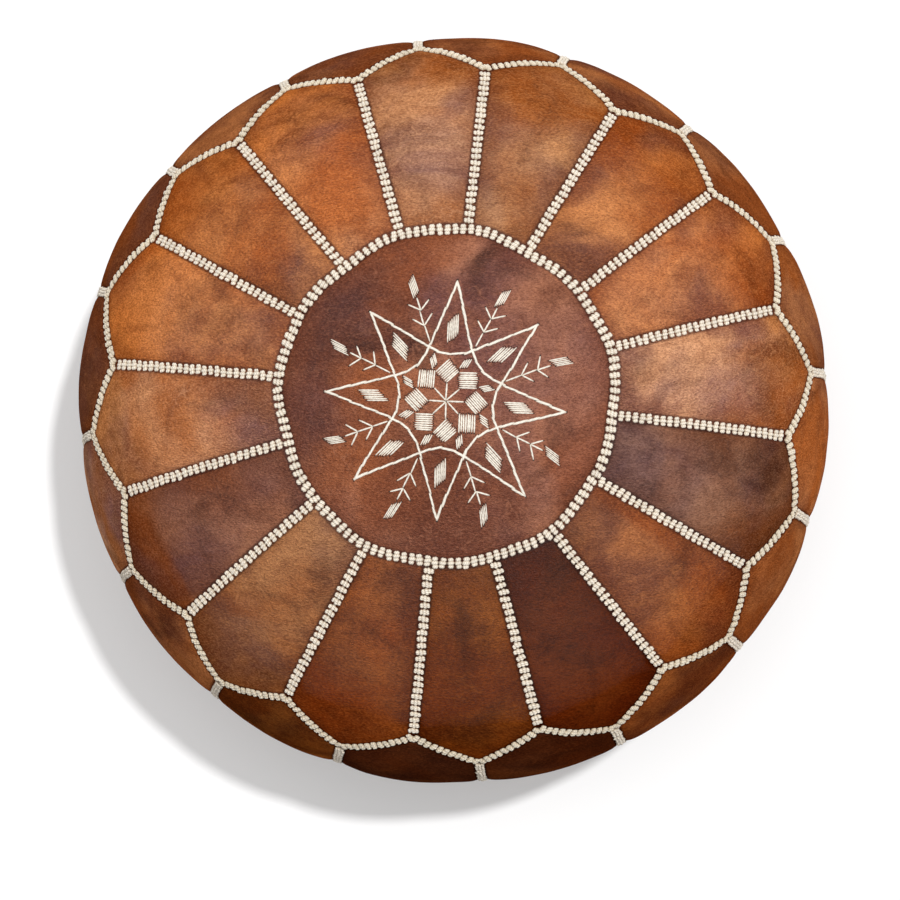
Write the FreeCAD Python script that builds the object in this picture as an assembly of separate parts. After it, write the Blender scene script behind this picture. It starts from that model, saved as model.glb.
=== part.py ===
"""Moroccan leather pouf: a stuffed round footstool sewn from leather panels.

Frame: +Z up, origin on the floor under the middle of the pouf, millimetres.
The zip in the underside runs along X. Every sub-part is written to parts/NODE.step.
"""

import FreeCAD, Part

import math
import os
from FreeCAD import Vector

# ---------------------------------------------------------------- driving dimensions (mm, degrees)
DIAMETER = 530.0
HEIGHT = 330.0
SECTORS = 16
SEAM_ANGLE = 16.0  # a radial seam of the top, measured from +X
LEATHER = 1.6
LAYER_GAP = 0.3  # between the leather, the inner bag and the filling
CLOTH = 1.0

# The profile of the outer surface, from the top down: dome, shoulder, side, foot, flat, step, recess.
WIDEST_Z = 150.0
SIDE_R = 190.0
SHOULDER_R = 105.0
SHOULDER_START = 20.0  # the side arc turns into the shoulder arc this far above the horizontal
FLAT_R = 160.0  # outer radius of the flat ring that stands on the floor
STEP_OUTER_R = 138.0
STEP_INNER_R = 130.0
RECESS_Z = 8.0  # height of the base disc above the floor

# Where the panels meet.
TOP_RING_R = 112.0
BASE_RING_R = 125.0
TOP_VALLEY_R = 232.0  # outer end of a radial seam on the top
TOP_POINT_R = 250.0  # outer point of a top petal
BASE_POINT_Z = 75.0  # upper point of a base petal
BASE_VALLEY_Z = 45.0  # outer end of a radial seam on the base

# Embroidered seams lie on the leather as a raised band of thread.
BAND_W = 7.0
BAND_H = 2.2
BAND_LIFT = 0.15
BAND = (BAND_LIFT, BAND_LIFT + BAND_H)
BAND_END = 4.6  # a radial or side band stops this far short of a corner of the zigzag
PLAIN_SEAM_W = 1.2
PLAIN_SEAM_INSET = (0.1, 1.2)  # from just under the surface down into the leather

# The embroidered star on the medallion.
STAR_ANGLE = 40.0
STAR_POINTS = 8
STAR_TIP_R = 78.0
STAR_CROSS_R = 40.0
STAR_ARC_R = 31.0
TIP_DIAMOND = (48.0, 19.0, 8.0)  # centre radius, length and width
INNER_SQUARE = (21.0, 15.0, 15.0)
SMALL_LEAF = (28.5, 8.5, 4.0)
END_LEAF = (78.0, 14.0, 5.0)
TWIG_RADII = (45.0, 70.0)
THREAD_W = 1.5
THREAD_H = 0.9

# The zip: a coil zip in a slot across the base disc.
SLOT_HALF_L = 108.0
SLOT_HALF_W = 5.5
TAPE_HALF_L = 113.0
TAPE_INNER_Y = 0.5
TAPE_OUTER_Y = 14.0
TAPE_T = 0.6
TAPE_SEWN_Y = 8.5
COIL_HALF_L = 102.0
COIL_INNER_Y = 0.5
COIL_OUTER_Y = 3.0
COIL_T = 2.0
STOP_GAP = 0.3
STOP_L = 3.0
SLIDER_HALF_L = 6.0
SLIDER_X = COIL_HALF_L - SLIDER_HALF_L  # closed: the slider is at the top stops
SLIDER_HALF_W = 4.6
SLIDER_GAP = 0.3  # between the slider and what it runs on
PLATE_T = 1.2
PIN_R = 0.6
PIN_GAP = 0.15
ARCH_T = 0.9
ARCH_HALF_W = 0.9
ARCH_HALF_L = 3.4
TAB_LENGTH = 24.0
TAB_HALF_W = 2.6
TAB_ARM_L = 6.5
TAB_ARM_GAP = 0.25
TAB_HANG = 8.5  # degrees that the pull tab hangs below level

# Inside the leather.
BAG_BASE_Z = 13.2  # underside of the inner bag, above the zip

HALF = 180.0 / SECTORS
BIG = 400.0
AXIS = Vector(0, 0, 1)
ORIGIN = Vector(0, 0, 0)


# ---------------------------------------------------------------- profile
def polar(centre, radius, degrees):
    a = math.radians(degrees)
    return (centre[0] + radius * math.cos(a), centre[1] + radius * math.sin(a))


SIDE_C = (DIAMETER / 2 - SIDE_R, WIDEST_Z)
SHOULDER_C = polar(SIDE_C, SIDE_R - SHOULDER_R, SHOULDER_START)
# The dome's centre is on the axis; it touches the shoulder arc from outside and the top at HEIGHT.
_drop = HEIGHT - SHOULDER_C[1]
DOME_R = (SHOULDER_C[0] ** 2 + _drop**2 - SHOULDER_R**2) / (2 * (_drop - SHOULDER_R))
DOME_C = (0.0, HEIGHT - DOME_R)
DOME_END = math.degrees(math.atan2(SHOULDER_C[1] - DOME_C[1], SHOULDER_C[0]))
# The foot arc touches the floor at FLAT_R and the side arc from inside.
_foot_x = FLAT_R - SIDE_C[0]
FOOT_R = (SIDE_R**2 - _foot_x**2 - WIDEST_Z**2) / (2 * (SIDE_R - WIDEST_Z))
FOOT_C = (FLAT_R, FOOT_R)
FOOT_START = math.degrees(math.atan2(FOOT_R - WIDEST_Z, _foot_x))

DOME, SHOULDER, SIDE, FOOT = (
    (DOME_C, DOME_R),
    (SHOULDER_C, SHOULDER_R),
    (SIDE_C, SIDE_R),
    (FOOT_C, FOOT_R),
)


def at(arc, degrees, offset=0.0):
    """Point of the XZ profile on an arc, moved outwards by offset."""
    x, z = polar(arc[0], arc[1] + offset, degrees)
    return Vector(x, 0, z)


def angle_at_radius(arc, radius):
    return math.degrees(math.acos((radius - arc[0][0]) / arc[1]))


def angle_at_height(arc, height):
    return math.degrees(math.asin((height - arc[0][1]) / arc[1]))


RING_ANGLE = angle_at_radius(DOME, TOP_RING_R)
TOP_VALLEY = (SHOULDER, angle_at_radius(SHOULDER, TOP_VALLEY_R))
TOP_POINT = (SHOULDER, angle_at_radius(SHOULDER, TOP_POINT_R))
BASE_POINT = (SIDE, angle_at_height(SIDE, BASE_POINT_Z))
BASE_VALLEY = (SIDE, angle_at_height(SIDE, BASE_VALLEY_Z))


def arc_edge(arc, start, end, offset):
    points = [at(arc, start + (end - start) * k / 2, offset) for k in range(3)]
    return Part.Arc(*points).toShape()


def path(arcs, offset):
    """Edges along (arc, start, end) pieces, and the two end points."""
    edges = [arc_edge(arc, start, end, offset) for arc, start, end in arcs]
    first, last = arcs[0], arcs[-1]
    return edges, at(first[0], first[1], offset), at(last[0], last[2], offset)


def band_face(arcs, inner, outer):
    """A strip of the profile between two offsets of the outer surface."""
    out_edges, out_a, out_b = path(arcs, outer)
    in_edges, in_a, in_b = path(arcs, inner)
    ends = [Part.makeLine(out_b, in_b), Part.makeLine(in_a, out_a)]
    return Part.Face(Part.Wire(Part.__sortEdges__(out_edges + in_edges + ends)))


def revolved(face, start, end):
    """The face turned about Z, from start to end in degrees."""
    turned = face.copy()
    turned.rotate(ORIGIN, AXIS, start)
    return turned.revolve(ORIGIN, AXIS, end - start)


def to_solid(shape):
    return shape if shape.ShapeType == "Solid" else Part.Solid(shape.Shells[0])


# ---------------------------------------------------------------- cutting tools
def surface_point(place, degrees):
    """The point of the outer surface at (arc, arc angle), turned about Z."""
    point = at(*place)
    turn = FreeCAD.Rotation(AXIS, degrees)
    return turn.multVec(point)


def surface_normal(place, degrees):
    arc, angle = place
    a = math.radians(angle)
    return FreeCAD.Rotation(AXIS, degrees).multVec(Vector(math.cos(a), 0, math.sin(a)))


def half_space(point, normal):
    """A large block that fills the side of a plane that its normal points to."""
    block = Part.makeBox(2 * BIG, 2 * BIG, BIG, Vector(-BIG, -BIG, 0))
    block.Placement = FreeCAD.Placement(point, FreeCAD.Rotation(AXIS, normal))
    return block


def seam_plane(place_a, angle_a, place_b, angle_b):
    """Point and downward normal of the plane that holds a zigzag seam and stands on the leather."""
    a, b = surface_point(place_a, angle_a), surface_point(place_b, angle_b)
    out = surface_normal(place_a, angle_a) + surface_normal(place_b, angle_b)
    normal = (b - a).cross(out)
    normal.normalize()
    if normal.z > 0:
        normal = normal * -1
    return a, normal


def zigzag_planes(valley, point):
    """The two planes of one V: the point is in the middle and the valleys are HALF to each side."""
    return [seam_plane(valley, side * HALF, point, 0.0) for side in (-1, 1)]


def slab(normal_angle, half_width):
    """A block |distance| < half_width about the vertical plane through Z at normal_angle."""
    block = Part.makeBox(BIG, 2 * half_width, 2 * BIG, Vector(0, -half_width, -BIG))
    block.rotate(ORIGIN, AXIS, normal_angle)
    return block


def ring_of(shape, count, first_angle):
    """count copies about Z, the first at first_angle."""
    copies = []
    for k in range(count):
        copy = shape.copy()
        copy.rotate(ORIGIN, AXIS, first_angle + k * 360.0 / count)
        copies.append(copy)
    return copies


# ---------------------------------------------------------------- leather panels
TOP_ARCS = [
    (DOME, RING_ANGLE, DOME_END),
    (SHOULDER, DOME_END, SHOULDER_START),
]
SIDE_ARCS = [
    (SHOULDER, DOME_END, SHOULDER_START),
    (SIDE, SHOULDER_START, FOOT_START),
]
TOP_PLANES = zigzag_planes(TOP_VALLEY, TOP_POINT)
BASE_PLANES = zigzag_planes(BASE_VALLEY, BASE_POINT)


def top_medallion():
    outer, inner = at(DOME, RING_ANGLE), at(DOME, RING_ANGLE, -LEATHER)
    apex_out, apex_in = at(DOME, 90.0), at(DOME, 90.0, -LEATHER)
    edges = [
        arc_edge(DOME, RING_ANGLE, 90.0, 0.0),
        Part.makeLine(apex_out, apex_in),
        arc_edge(DOME, RING_ANGLE, 90.0, -LEATHER),
        Part.makeLine(inner, outer),
    ]
    face = Part.Face(Part.Wire(Part.__sortEdges__(edges)))
    return face.revolve(ORIGIN, AXIS, 360.0)


def top_petal():
    """Pentagon from the medallion out to a point at angle 0."""
    panel = revolved(band_face(TOP_ARCS, -LEATHER, 0.0), -HALF, HALF)
    for point, down in TOP_PLANES:
        panel = panel.cut(half_space(point, down))
    return panel


def side_panel():
    """Hexagon with one point up and one point down, both at angle 0."""
    panel = revolved(band_face(SIDE_ARCS, -LEATHER, 0.0), -HALF, HALF)
    for side in (-1, 1):
        point, down = seam_plane(TOP_VALLEY, 0.0, TOP_POINT, side * HALF)
        panel = panel.cut(half_space(point, down * -1))
        point, down = seam_plane(BASE_VALLEY, 0.0, BASE_POINT, side * HALF)
        panel = panel.cut(half_space(point, down))
    return panel


def base_outline(depth):
    """The profile under the side arc, from the foot to the base ring, moved in by depth."""
    slope = math.atan2(RECESS_Z, STEP_OUTER_R - STEP_INNER_R)
    corner = depth * math.tan(slope / 2)
    return [
        Vector(FLAT_R, 0, depth),
        Vector(STEP_OUTER_R + corner, 0, depth),
        Vector(STEP_INNER_R + corner, 0, RECESS_Z + depth),
        Vector(BASE_RING_R, 0, RECESS_Z + depth),
    ]


def polyline(points):
    return [Part.makeLine(a, b) for a, b in zip(points, points[1:])]


def base_petal():
    """Pentagon from the base ring up to a point at angle 0, with a gap at each plain seam."""
    arcs = [(SIDE, 0.0, FOOT_START), (FOOT, FOOT_START, -90.0)]
    out_edges, out_a, _ = path(arcs, 0.0)
    in_edges, in_a, _ = path(arcs, -LEATHER)
    outer, inner = base_outline(0.0), base_outline(LEATHER)
    edges = out_edges + polyline(outer) + in_edges + polyline(inner)
    edges += [Part.makeLine(in_a, out_a), Part.makeLine(outer[-1], inner[-1])]
    face = Part.Face(Part.Wire(Part.__sortEdges__(edges)))
    panel = revolved(face, -HALF, HALF)
    for point, down in BASE_PLANES:
        panel = panel.cut(half_space(point, down * -1))
    for side in (-1, 1):
        panel = panel.cut(slab(side * HALF, PLAIN_SEAM_W / 2))
    return panel


def base_disc():
    """The base disc's two halves, each side of the zip's slot."""
    disc = Part.makeCylinder(BASE_RING_R, LEATHER, Vector(0, 0, RECESS_Z))
    slot = Part.makeBox(
        2 * (SLOT_HALF_L - SLOT_HALF_W),
        2 * SLOT_HALF_W,
        LEATHER,
        Vector(-SLOT_HALF_L + SLOT_HALF_W, -SLOT_HALF_W, RECESS_Z),
    )
    for side in (-1, 1):
        centre = Vector(side * (SLOT_HALF_L - SLOT_HALF_W), 0, RECESS_Z)
        slot = slot.fuse(Part.makeCylinder(SLOT_HALF_W, LEATHER, centre))
    disc = disc.cut(slot)
    front = disc.cut(half_space(ORIGIN, Vector(0, 1, 0)))
    rear = disc.cut(half_space(ORIGIN, Vector(0, -1, 0)))
    return front, rear


# ---------------------------------------------------------------- seams
def seam_end(arc, angle, clearance):
    """An arc angle moved towards the top by a length along the surface."""
    return angle + math.degrees(clearance / arc[1])


def top_ring_band():
    half = math.degrees(BAND_W / 2 / DOME_R)
    face = band_face([(DOME, RING_ANGLE - half, RING_ANGLE + half)], *BAND)
    return face.revolve(ORIGIN, AXIS, 360.0)


def radial_band():
    """Along the plane at angle 0, from the ring band out to the zigzag band."""
    start = seam_end(DOME, RING_ANGLE, -BAND_W / 2 - BAND_LIFT)
    end = seam_end(SHOULDER, TOP_VALLEY[1], BAND_END)
    arcs = [(DOME, start, DOME_END), (SHOULDER, DOME_END, end)]
    return revolved(band_face(arcs, *BAND), -4.0, 4.0).common(slab(0.0, BAND_W / 2))


def side_band():
    """Along the plane at angle 0, between the two zigzag bands."""
    start = seam_end(SHOULDER, TOP_POINT[1], -BAND_END)
    end = seam_end(SIDE, BASE_POINT[1], BAND_END)
    arcs = [(SHOULDER, start, SHOULDER_START), (SIDE, SHOULDER_START, end)]
    return revolved(band_face(arcs, *BAND), -2.0, 2.0).common(slab(0.0, BAND_W / 2))


def zigzag_band(valley, point, arcs, side):
    """One leg of the zigzag, from a valley at side * HALF to the point at angle 0."""
    strip = revolved(
        band_face(arcs, *BAND), min(0, side) * HALF, max(0, side) * HALF
    )
    origin, down = seam_plane(valley, side * HALF, point, 0.0)
    strip = strip.cut(half_space(origin + down * (BAND_W / 2), down))
    return strip.cut(half_space(origin - down * (BAND_W / 2), down * -1))


def zigzag(valley, point, arcs, first_angle):
    legs = []
    for side in (-1, 1):
        legs += ring_of(zigzag_band(valley, point, arcs, side), SECTORS, first_angle)
    return legs


def plain_seam():
    """Thread laid in the gap between two base petals, at angle 0."""
    shallow, deep = PLAIN_SEAM_INSET
    arcs = [(SIDE, BASE_VALLEY[1] - 2.0, FOOT_START), (FOOT, FOOT_START, -90.0)]
    out_edges, out_a, _ = path(arcs, -shallow)
    in_edges, in_a, _ = path(arcs, -deep)
    outer, inner = base_outline(shallow), base_outline(deep)
    outer[-1].x = inner[-1].x = BASE_RING_R + BAND_LIFT
    edges = out_edges + polyline(outer) + in_edges + polyline(inner)
    edges += [Part.makeLine(in_a, out_a), Part.makeLine(outer[-1], inner[-1])]
    face = Part.Face(Part.Wire(Part.__sortEdges__(edges)))
    half_width = PLAIN_SEAM_W / 2 - BAND_LIFT / 3
    face.translate(Vector(0, -half_width, 0))
    return face.extrude(Vector(0, 2 * half_width, 0))


def base_ring_band():
    outer = Part.makeCylinder(
        BASE_RING_R + BAND_W / 2, BAND_H, Vector(0, 0, RECESS_Z - BAND_LIFT - BAND_H)
    )
    inner = Part.makeCylinder(
        BASE_RING_R - BAND_W / 2, BAND_H, Vector(0, 0, RECESS_Z - BAND_LIFT - BAND_H)
    )
    return outer.cut(inner)


# ---------------------------------------------------------------- embroidery
def flat_point(radius, degrees):
    x, y = polar((0, 0), radius, degrees)
    return Vector(x, y, 0)


def flat_bar(a, b, width):
    """A thin rectangle from a to b in the XY plane."""
    along = b - a
    along.normalize()
    across = Vector(-along.y, along.x, 0) * (width / 2)
    return Part.Face(Part.makePolygon([a + across, b + across, b - across, a - across, a + across]))


def flat_diamond(degrees, centre_r, along, across):
    corners = [
        flat_point(centre_r - along / 2, degrees),
        flat_point(centre_r, degrees) + flat_point(across / 2, degrees + 90),
        flat_point(centre_r + along / 2, degrees),
        flat_point(centre_r, degrees) - flat_point(across / 2, degrees + 90),
    ]
    return Part.Face(Part.makePolygon(corners + corners[:1]))


def star_curve(k):
    """From one star tip inwards, round the middle and out to the tip after next."""
    step = 360.0 / STAR_POINTS
    first = STAR_ANGLE + k * step
    route = [
        flat_point(STAR_TIP_R, first),
        flat_point(STAR_CROSS_R, first + step / 2),
        flat_point(STAR_ARC_R, first + step),
        flat_point(STAR_CROSS_R, first + 1.5 * step),
        flat_point(STAR_TIP_R, first + 2 * step),
    ]
    bars = [flat_bar(a, b, THREAD_W) for a, b in zip(route, route[1:])]
    return bars[0].multiFuse(bars[1:])


def embroidery():
    """The star's outline, its filled motifs and the twigs, each as thin pieces on the dome."""
    step = 360.0 / STAR_POINTS
    curves = [star_curve(k) for k in range(STAR_POINTS)]
    flat = [curves[0].multiFuse(curves[1:])]
    for k in range(STAR_POINTS):
        tip, between = STAR_ANGLE + k * step, STAR_ANGLE + (k + 0.5) * step
        flat += [flat_diamond(tip, *size) for size in (TIP_DIAMOND, INNER_SQUARE)]
        flat += [flat_diamond(between, *size) for size in (SMALL_LEAF, END_LEAF)]
        stem = [flat_point(radius, between) for radius in TWIG_RADII]
        flat.append(flat_bar(*stem, THREAD_W))
    cap_arcs = [(DOME, RING_ANGLE, 90.0)]
    cap = band_face(cap_arcs, BAND_LIFT, BAND_LIFT + THREAD_H).revolve(ORIGIN, AXIS, 360.0)
    pieces = []
    for shape in flat:
        shape.translate(Vector(0, 0, HEIGHT - 40.0))
        for solid in shape.extrude(Vector(0, 0, 60.0)).Solids:
            pieces += solid.common(cap).Solids
    return pieces


# ---------------------------------------------------------------- inside
def body_profile(depth, base_z):
    """Everything inside the leather, depth under its outer surface, with a raised middle."""
    arcs = [
        (DOME, 90.0, DOME_END),
        (SHOULDER, DOME_END, SHOULDER_START),
        (SIDE, SHOULDER_START, FOOT_START),
        (FOOT, FOOT_START, -90.0),
    ]
    edges, top, _ = path(arcs, -depth)
    floor = base_outline(depth)[:2]
    slope = (STEP_OUTER_R - STEP_INNER_R) / RECESS_Z
    inner_r = floor[1].x - (base_z - depth) * slope
    floor += [Vector(inner_r, 0, base_z), Vector(0, 0, base_z)]
    edges += polyline(floor) + [Part.makeLine(floor[-1], top)]
    return Part.Face(Part.Wire(Part.__sortEdges__(edges)))


def inner_bag():
    outer = body_profile(LEATHER + LAYER_GAP, BAG_BASE_Z)
    inner = body_profile(LEATHER + LAYER_GAP + CLOTH, BAG_BASE_Z + CLOTH)
    whole = outer.revolve(ORIGIN, AXIS, 360.0)
    return to_solid(whole).cut(to_solid(inner.revolve(ORIGIN, AXIS, 360.0)))


def filling():
    depth = LEATHER + CLOTH + 2 * LAYER_GAP
    face = body_profile(depth, BAG_BASE_Z + CLOTH + LAYER_GAP)
    return face.revolve(ORIGIN, AXIS, 360.0)


# ---------------------------------------------------------------- zip
TAPE_Z = RECESS_Z + LEATHER
COIL_BOTTOM = TAPE_Z - COIL_T
# The slider wraps the coils: a plate under them, a plate over the tapes and a thin post between.
OUTER_PLATE_TOP = COIL_BOTTOM - SLIDER_GAP
OUTER_PLATE_BOTTOM = OUTER_PLATE_TOP - PLATE_T
INNER_PLATE_BOTTOM = TAPE_Z + TAPE_T + SLIDER_GAP
PIN_Z = OUTER_PLATE_BOTTOM - PIN_GAP - PIN_R
ARCH_INNER_Z = PIN_Z - PIN_R - PIN_GAP


def box(x0, x1, y0, y1, z0, z1):
    return Part.makeBox(x1 - x0, y1 - y0, z1 - z0, Vector(x0, y0, z0))


def side_box(x0, x1, side, near_y, far_y, z0, z1):
    """A box between two distances from the XZ plane, on the side of y's sign."""
    return box(x0, x1, *sorted((side * near_y, side * far_y)), z0, z1)


def rounded(block, direction, radius, keep=lambda edge: True):
    """The block with its edges along a direction rounded, or those that keep() picks."""

    def runs_along(edge):
        a, b = edge.Vertexes
        run = b.Point - a.Point
        return abs(run.dot(direction)) > 0.999 * run.Length

    edges = [e for e in block.Edges if runs_along(e) and keep(e)]
    return block.makeFillet(radius, edges)


def zip_tape(side):
    low, high = TAPE_Z, TAPE_Z + TAPE_T
    return side_box(-TAPE_HALF_L, TAPE_HALF_L, side, TAPE_INNER_Y, TAPE_OUTER_Y, low, high)


def zip_coil(side):
    """The row of nylon loops on one tape, as its outer shape: a bar with rounded edges."""
    x = COIL_HALF_L
    bar = side_box(-x, x, side, COIL_INNER_Y, COIL_OUTER_Y, COIL_BOTTOM, TAPE_Z)
    return rounded(bar, Vector(1, 0, 0), 0.8, lambda e: e.CenterOfMass.z < TAPE_Z - COIL_T / 2)


def zip_top_stops():
    """A bent metal clip past the end of each coil."""
    x = COIL_HALF_L + STOP_GAP
    near, far = COIL_INNER_Y + STOP_GAP, COIL_OUTER_Y + 0.2
    clips = [side_box(x, x + STOP_L, side, near, far, COIL_BOTTOM, TAPE_Z) for side in (-1, 1)]
    return [rounded(clip, Vector(0, 0, 1), 0.5) for clip in clips]


def zip_bottom_stop():
    x = -COIL_HALF_L - STOP_GAP
    half_width = COIL_OUTER_Y + 0.4
    clip = box(x - STOP_L, x, -half_width, half_width, COIL_BOTTOM, TAPE_Z)
    return rounded(clip, Vector(0, 0, 1), 0.5)


def slider_arch():
    """The bow under the slider that the pull tab's pin turns in."""
    x, y, wall = ARCH_HALF_L, ARCH_HALF_W, ARCH_T
    low = ARCH_INNER_Z - ARCH_T
    arch = box(SLIDER_X - x, SLIDER_X + x, -y, y, low, OUTER_PLATE_BOTTOM)
    arch = rounded(arch, Vector(0, 1, 0), 0.8, lambda e: e.CenterOfMass.z < ARCH_INNER_Z)
    x -= wall
    return arch.cut(box(SLIDER_X - x, SLIDER_X + x, -y, y, ARCH_INNER_Z, OUTER_PLATE_BOTTOM))


def zip_slider():
    x0, x1 = SLIDER_X - SLIDER_HALF_L, SLIDER_X + SLIDER_HALF_L
    w = SLIDER_HALF_W
    outer = box(x0, x1, -w, w, OUTER_PLATE_BOTTOM, OUTER_PLATE_TOP)
    inner = box(x0, x1, -w, w, INNER_PLATE_BOTTOM, INNER_PLATE_BOTTOM + PLATE_T)
    body = rounded(outer, Vector(0, 0, 1), 2.2).fuse(rounded(inner, Vector(0, 0, 1), 2.2))
    post_y = COIL_INNER_Y - PIN_GAP
    body = body.fuse(box(x1 - 5.0, x1 - 1.0, -post_y, post_y, OUTER_PLATE_TOP, INNER_PLATE_BOTTOM))
    for side in (-1, 1):
        near, high = COIL_OUTER_Y + SLIDER_GAP, TAPE_Z - SLIDER_GAP
        body = body.fuse(side_box(x0 + 2.3, x1 - 2.3, side, near, w, OUTER_PLATE_TOP, high))
    return body.fuse(slider_arch()).removeSplitter()


def zip_pull_tab():
    """A pin through the slider's arch, two arms beside the arch, and the plate that is pulled."""
    pin_start = Vector(SLIDER_X, -TAB_HALF_W, PIN_Z)
    pin = Part.makeCylinder(PIN_R, 2 * TAB_HALF_W, pin_start, Vector(0, 1, 0))
    low, high = PIN_Z - PIN_R, PIN_Z + PIN_R
    tip, neck = SLIDER_X - TAB_LENGTH, SLIDER_X - TAB_ARM_L
    plate = box(tip, neck, -TAB_HALF_W, TAB_HALF_W, low, high)
    plate = rounded(plate, Vector(0, 0, 1), 2.0, lambda e: e.CenterOfMass.x < neck)
    hole = Part.makeCylinder(1.2, 2 * PIN_R, Vector(tip + 3.4, 0, low))
    tab = pin.fuse(plate.cut(hole))
    for side in (-1, 1):
        near = ARCH_HALF_W + TAB_ARM_GAP
        tab = tab.fuse(side_box(neck, SLIDER_X, side, near, TAB_HALF_W, low, high))
    tab = tab.removeSplitter()
    tab.rotate(Vector(SLIDER_X, 0, PIN_Z), Vector(0, 1, 0), -TAB_HANG)
    return tab


def zip_stitching():
    """The two lines of thread that hold the tapes to the leather."""
    near, far = TAPE_SEWN_Y - 0.4, TAPE_SEWN_Y + 0.4
    high = RECESS_Z - BAND_LIFT
    x = SLOT_HALF_L
    return [side_box(-x, x, side, near, far, high - 0.5, high) for side in (-1, 1)]


# ---------------------------------------------------------------- output
def write(node, shape):
    solids = []
    for item in shape if isinstance(shape, list) else [shape]:
        if not item.Solids:
            item = Part.Solid(item.Shells[0])
        solids += item.Solids
    for solid in solids:
        if solid.Volume <= 0 or not solid.isValid():
            raise ValueError(f"{node} holds a solid that isn't valid")
    whole = solids[0] if len(solids) == 1 else Part.makeCompound(solids)
    whole.exportStep(f"parts/{node}.step")
    print(f"{node}: {len(solids)} solids, {sum(s.Volume for s in solids) / 1000:.1f} cm3")


def write_panels():
    first_petal = SEAM_ANGLE + HALF
    for k, petal in enumerate(ring_of(top_petal(), SECTORS, first_petal), 1):
        write(f"top_petal_{k:02d}", petal)
    for k, panel in enumerate(ring_of(side_panel(), SECTORS, SEAM_ANGLE), 1):
        write(f"side_panel_{k:02d}", panel)
    base = ring_of(base_petal(), SECTORS, first_petal)
    quarter = SECTORS // 4
    for k in range(4):
        write(f"base_petals_quarter_{k + 1}", base[k * quarter : (k + 1) * quarter])
    write("top_medallion", top_medallion())
    front, rear = base_disc()
    write("base_disc_front", front)
    write("base_disc_rear", rear)


def write_seams():
    first_petal = SEAM_ANGLE + HALF
    top_arcs = [(DOME, DOME_END + 4.0, DOME_END), (SHOULDER, DOME_END, SHOULDER_START)]
    base_arcs = [(SIDE, 0.0, FOOT_START), (FOOT, FOOT_START, FOOT_START - 15.0)]
    write("medallion_embroidery", embroidery())
    write("top_ring_stitching", top_ring_band())
    write("top_radial_stitching", ring_of(radial_band(), SECTORS, SEAM_ANGLE))
    write("top_zigzag_stitching", zigzag(TOP_VALLEY, TOP_POINT, top_arcs, first_petal))
    write("side_seam_stitching", ring_of(side_band(), SECTORS, first_petal))
    write("base_zigzag_stitching", zigzag(BASE_VALLEY, BASE_POINT, base_arcs, first_petal))
    inner = half_space(*seam_plane(BASE_VALLEY, 0.0, BASE_POINT, HALF))
    outer = half_space(*seam_plane(BASE_VALLEY, 0.0, BASE_POINT, -HALF))
    seam = plain_seam().common(inner).common(outer)
    write("base_radial_stitching", ring_of(seam, SECTORS, SEAM_ANGLE))
    write("base_ring_stitching", base_ring_band())


def write_inside_and_zip():
    write("inner_bag", inner_bag())
    write("filling", filling())
    for name, side in (("front", -1), ("rear", 1)):
        write(f"zip_tape_{name}", zip_tape(side))
        write(f"zip_coil_{name}", zip_coil(side))
    write("zip_top_stops", zip_top_stops())
    write("zip_bottom_stop", zip_bottom_stop())
    write("zip_slider", zip_slider())
    write("zip_pull_tab", zip_pull_tab())
    write("zip_stitching", zip_stitching())


os.makedirs("parts", exist_ok=True)
write_panels()
write_seams()
write_inside_and_zip()
print(f"dome radius {DOME_R:.1f}, foot radius {FOOT_R:.1f}, pin height {PIN_Z:.2f}")
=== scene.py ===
"""Looks of the Moroccan leather pouf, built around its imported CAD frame. Metres, +Z up.

The cover is one surface: a profile turned about Z, cut into panels by its seams. A place on it is
(u, s): u counts radial seams from the first one, and s is the distance along the profile from the
middle of the top. Every panel, seam and stitch is worked out from these two.
"""

import itertools
import math

import bpy
import numpy as np
from mathutils import Matrix, Vector


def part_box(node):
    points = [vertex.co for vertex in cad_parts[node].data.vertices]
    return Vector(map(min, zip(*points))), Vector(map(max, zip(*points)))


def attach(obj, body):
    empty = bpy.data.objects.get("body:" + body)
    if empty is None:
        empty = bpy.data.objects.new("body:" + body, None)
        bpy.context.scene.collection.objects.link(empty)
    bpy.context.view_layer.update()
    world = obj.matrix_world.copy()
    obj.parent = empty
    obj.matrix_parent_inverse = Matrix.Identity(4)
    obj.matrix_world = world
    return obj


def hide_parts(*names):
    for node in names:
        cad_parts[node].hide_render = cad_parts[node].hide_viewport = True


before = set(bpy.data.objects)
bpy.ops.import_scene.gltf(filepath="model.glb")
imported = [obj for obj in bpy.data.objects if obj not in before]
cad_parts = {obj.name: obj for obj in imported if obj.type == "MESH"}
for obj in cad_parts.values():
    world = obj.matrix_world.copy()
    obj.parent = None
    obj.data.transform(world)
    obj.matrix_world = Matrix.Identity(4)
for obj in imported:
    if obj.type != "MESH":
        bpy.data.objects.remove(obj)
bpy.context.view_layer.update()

MM = 0.001

# ---------------- sizes, the same as the CAD part's
SECTORS = 16
SECTOR = 2 * math.pi / SECTORS
FIRST_SEAM = math.radians(16)
TOP_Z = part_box("top_medallion")[1].z
RING_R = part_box("top_medallion")[1].x
WIDEST_R = 265 * MM
WIDEST_Z = 150 * MM
SIDE_R = 190 * MM
SHOULDER_R = 105 * MM
SHOULDER_START = math.radians(20)
FLAT_R = 160 * MM
STEP_OUTER_R = 138 * MM
STEP_INNER_R = 130 * MM
RECESS_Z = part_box("base_disc_front")[0].z
BASE_RING_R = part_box("base_disc_front")[1].x
TOP_VALLEY_R = 232 * MM
TOP_POINT_R = 250 * MM
BASE_POINT_Z = 75 * MM
BASE_VALLEY_Z = 45 * MM
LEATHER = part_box("base_disc_front")[1].z - RECESS_Z

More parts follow.
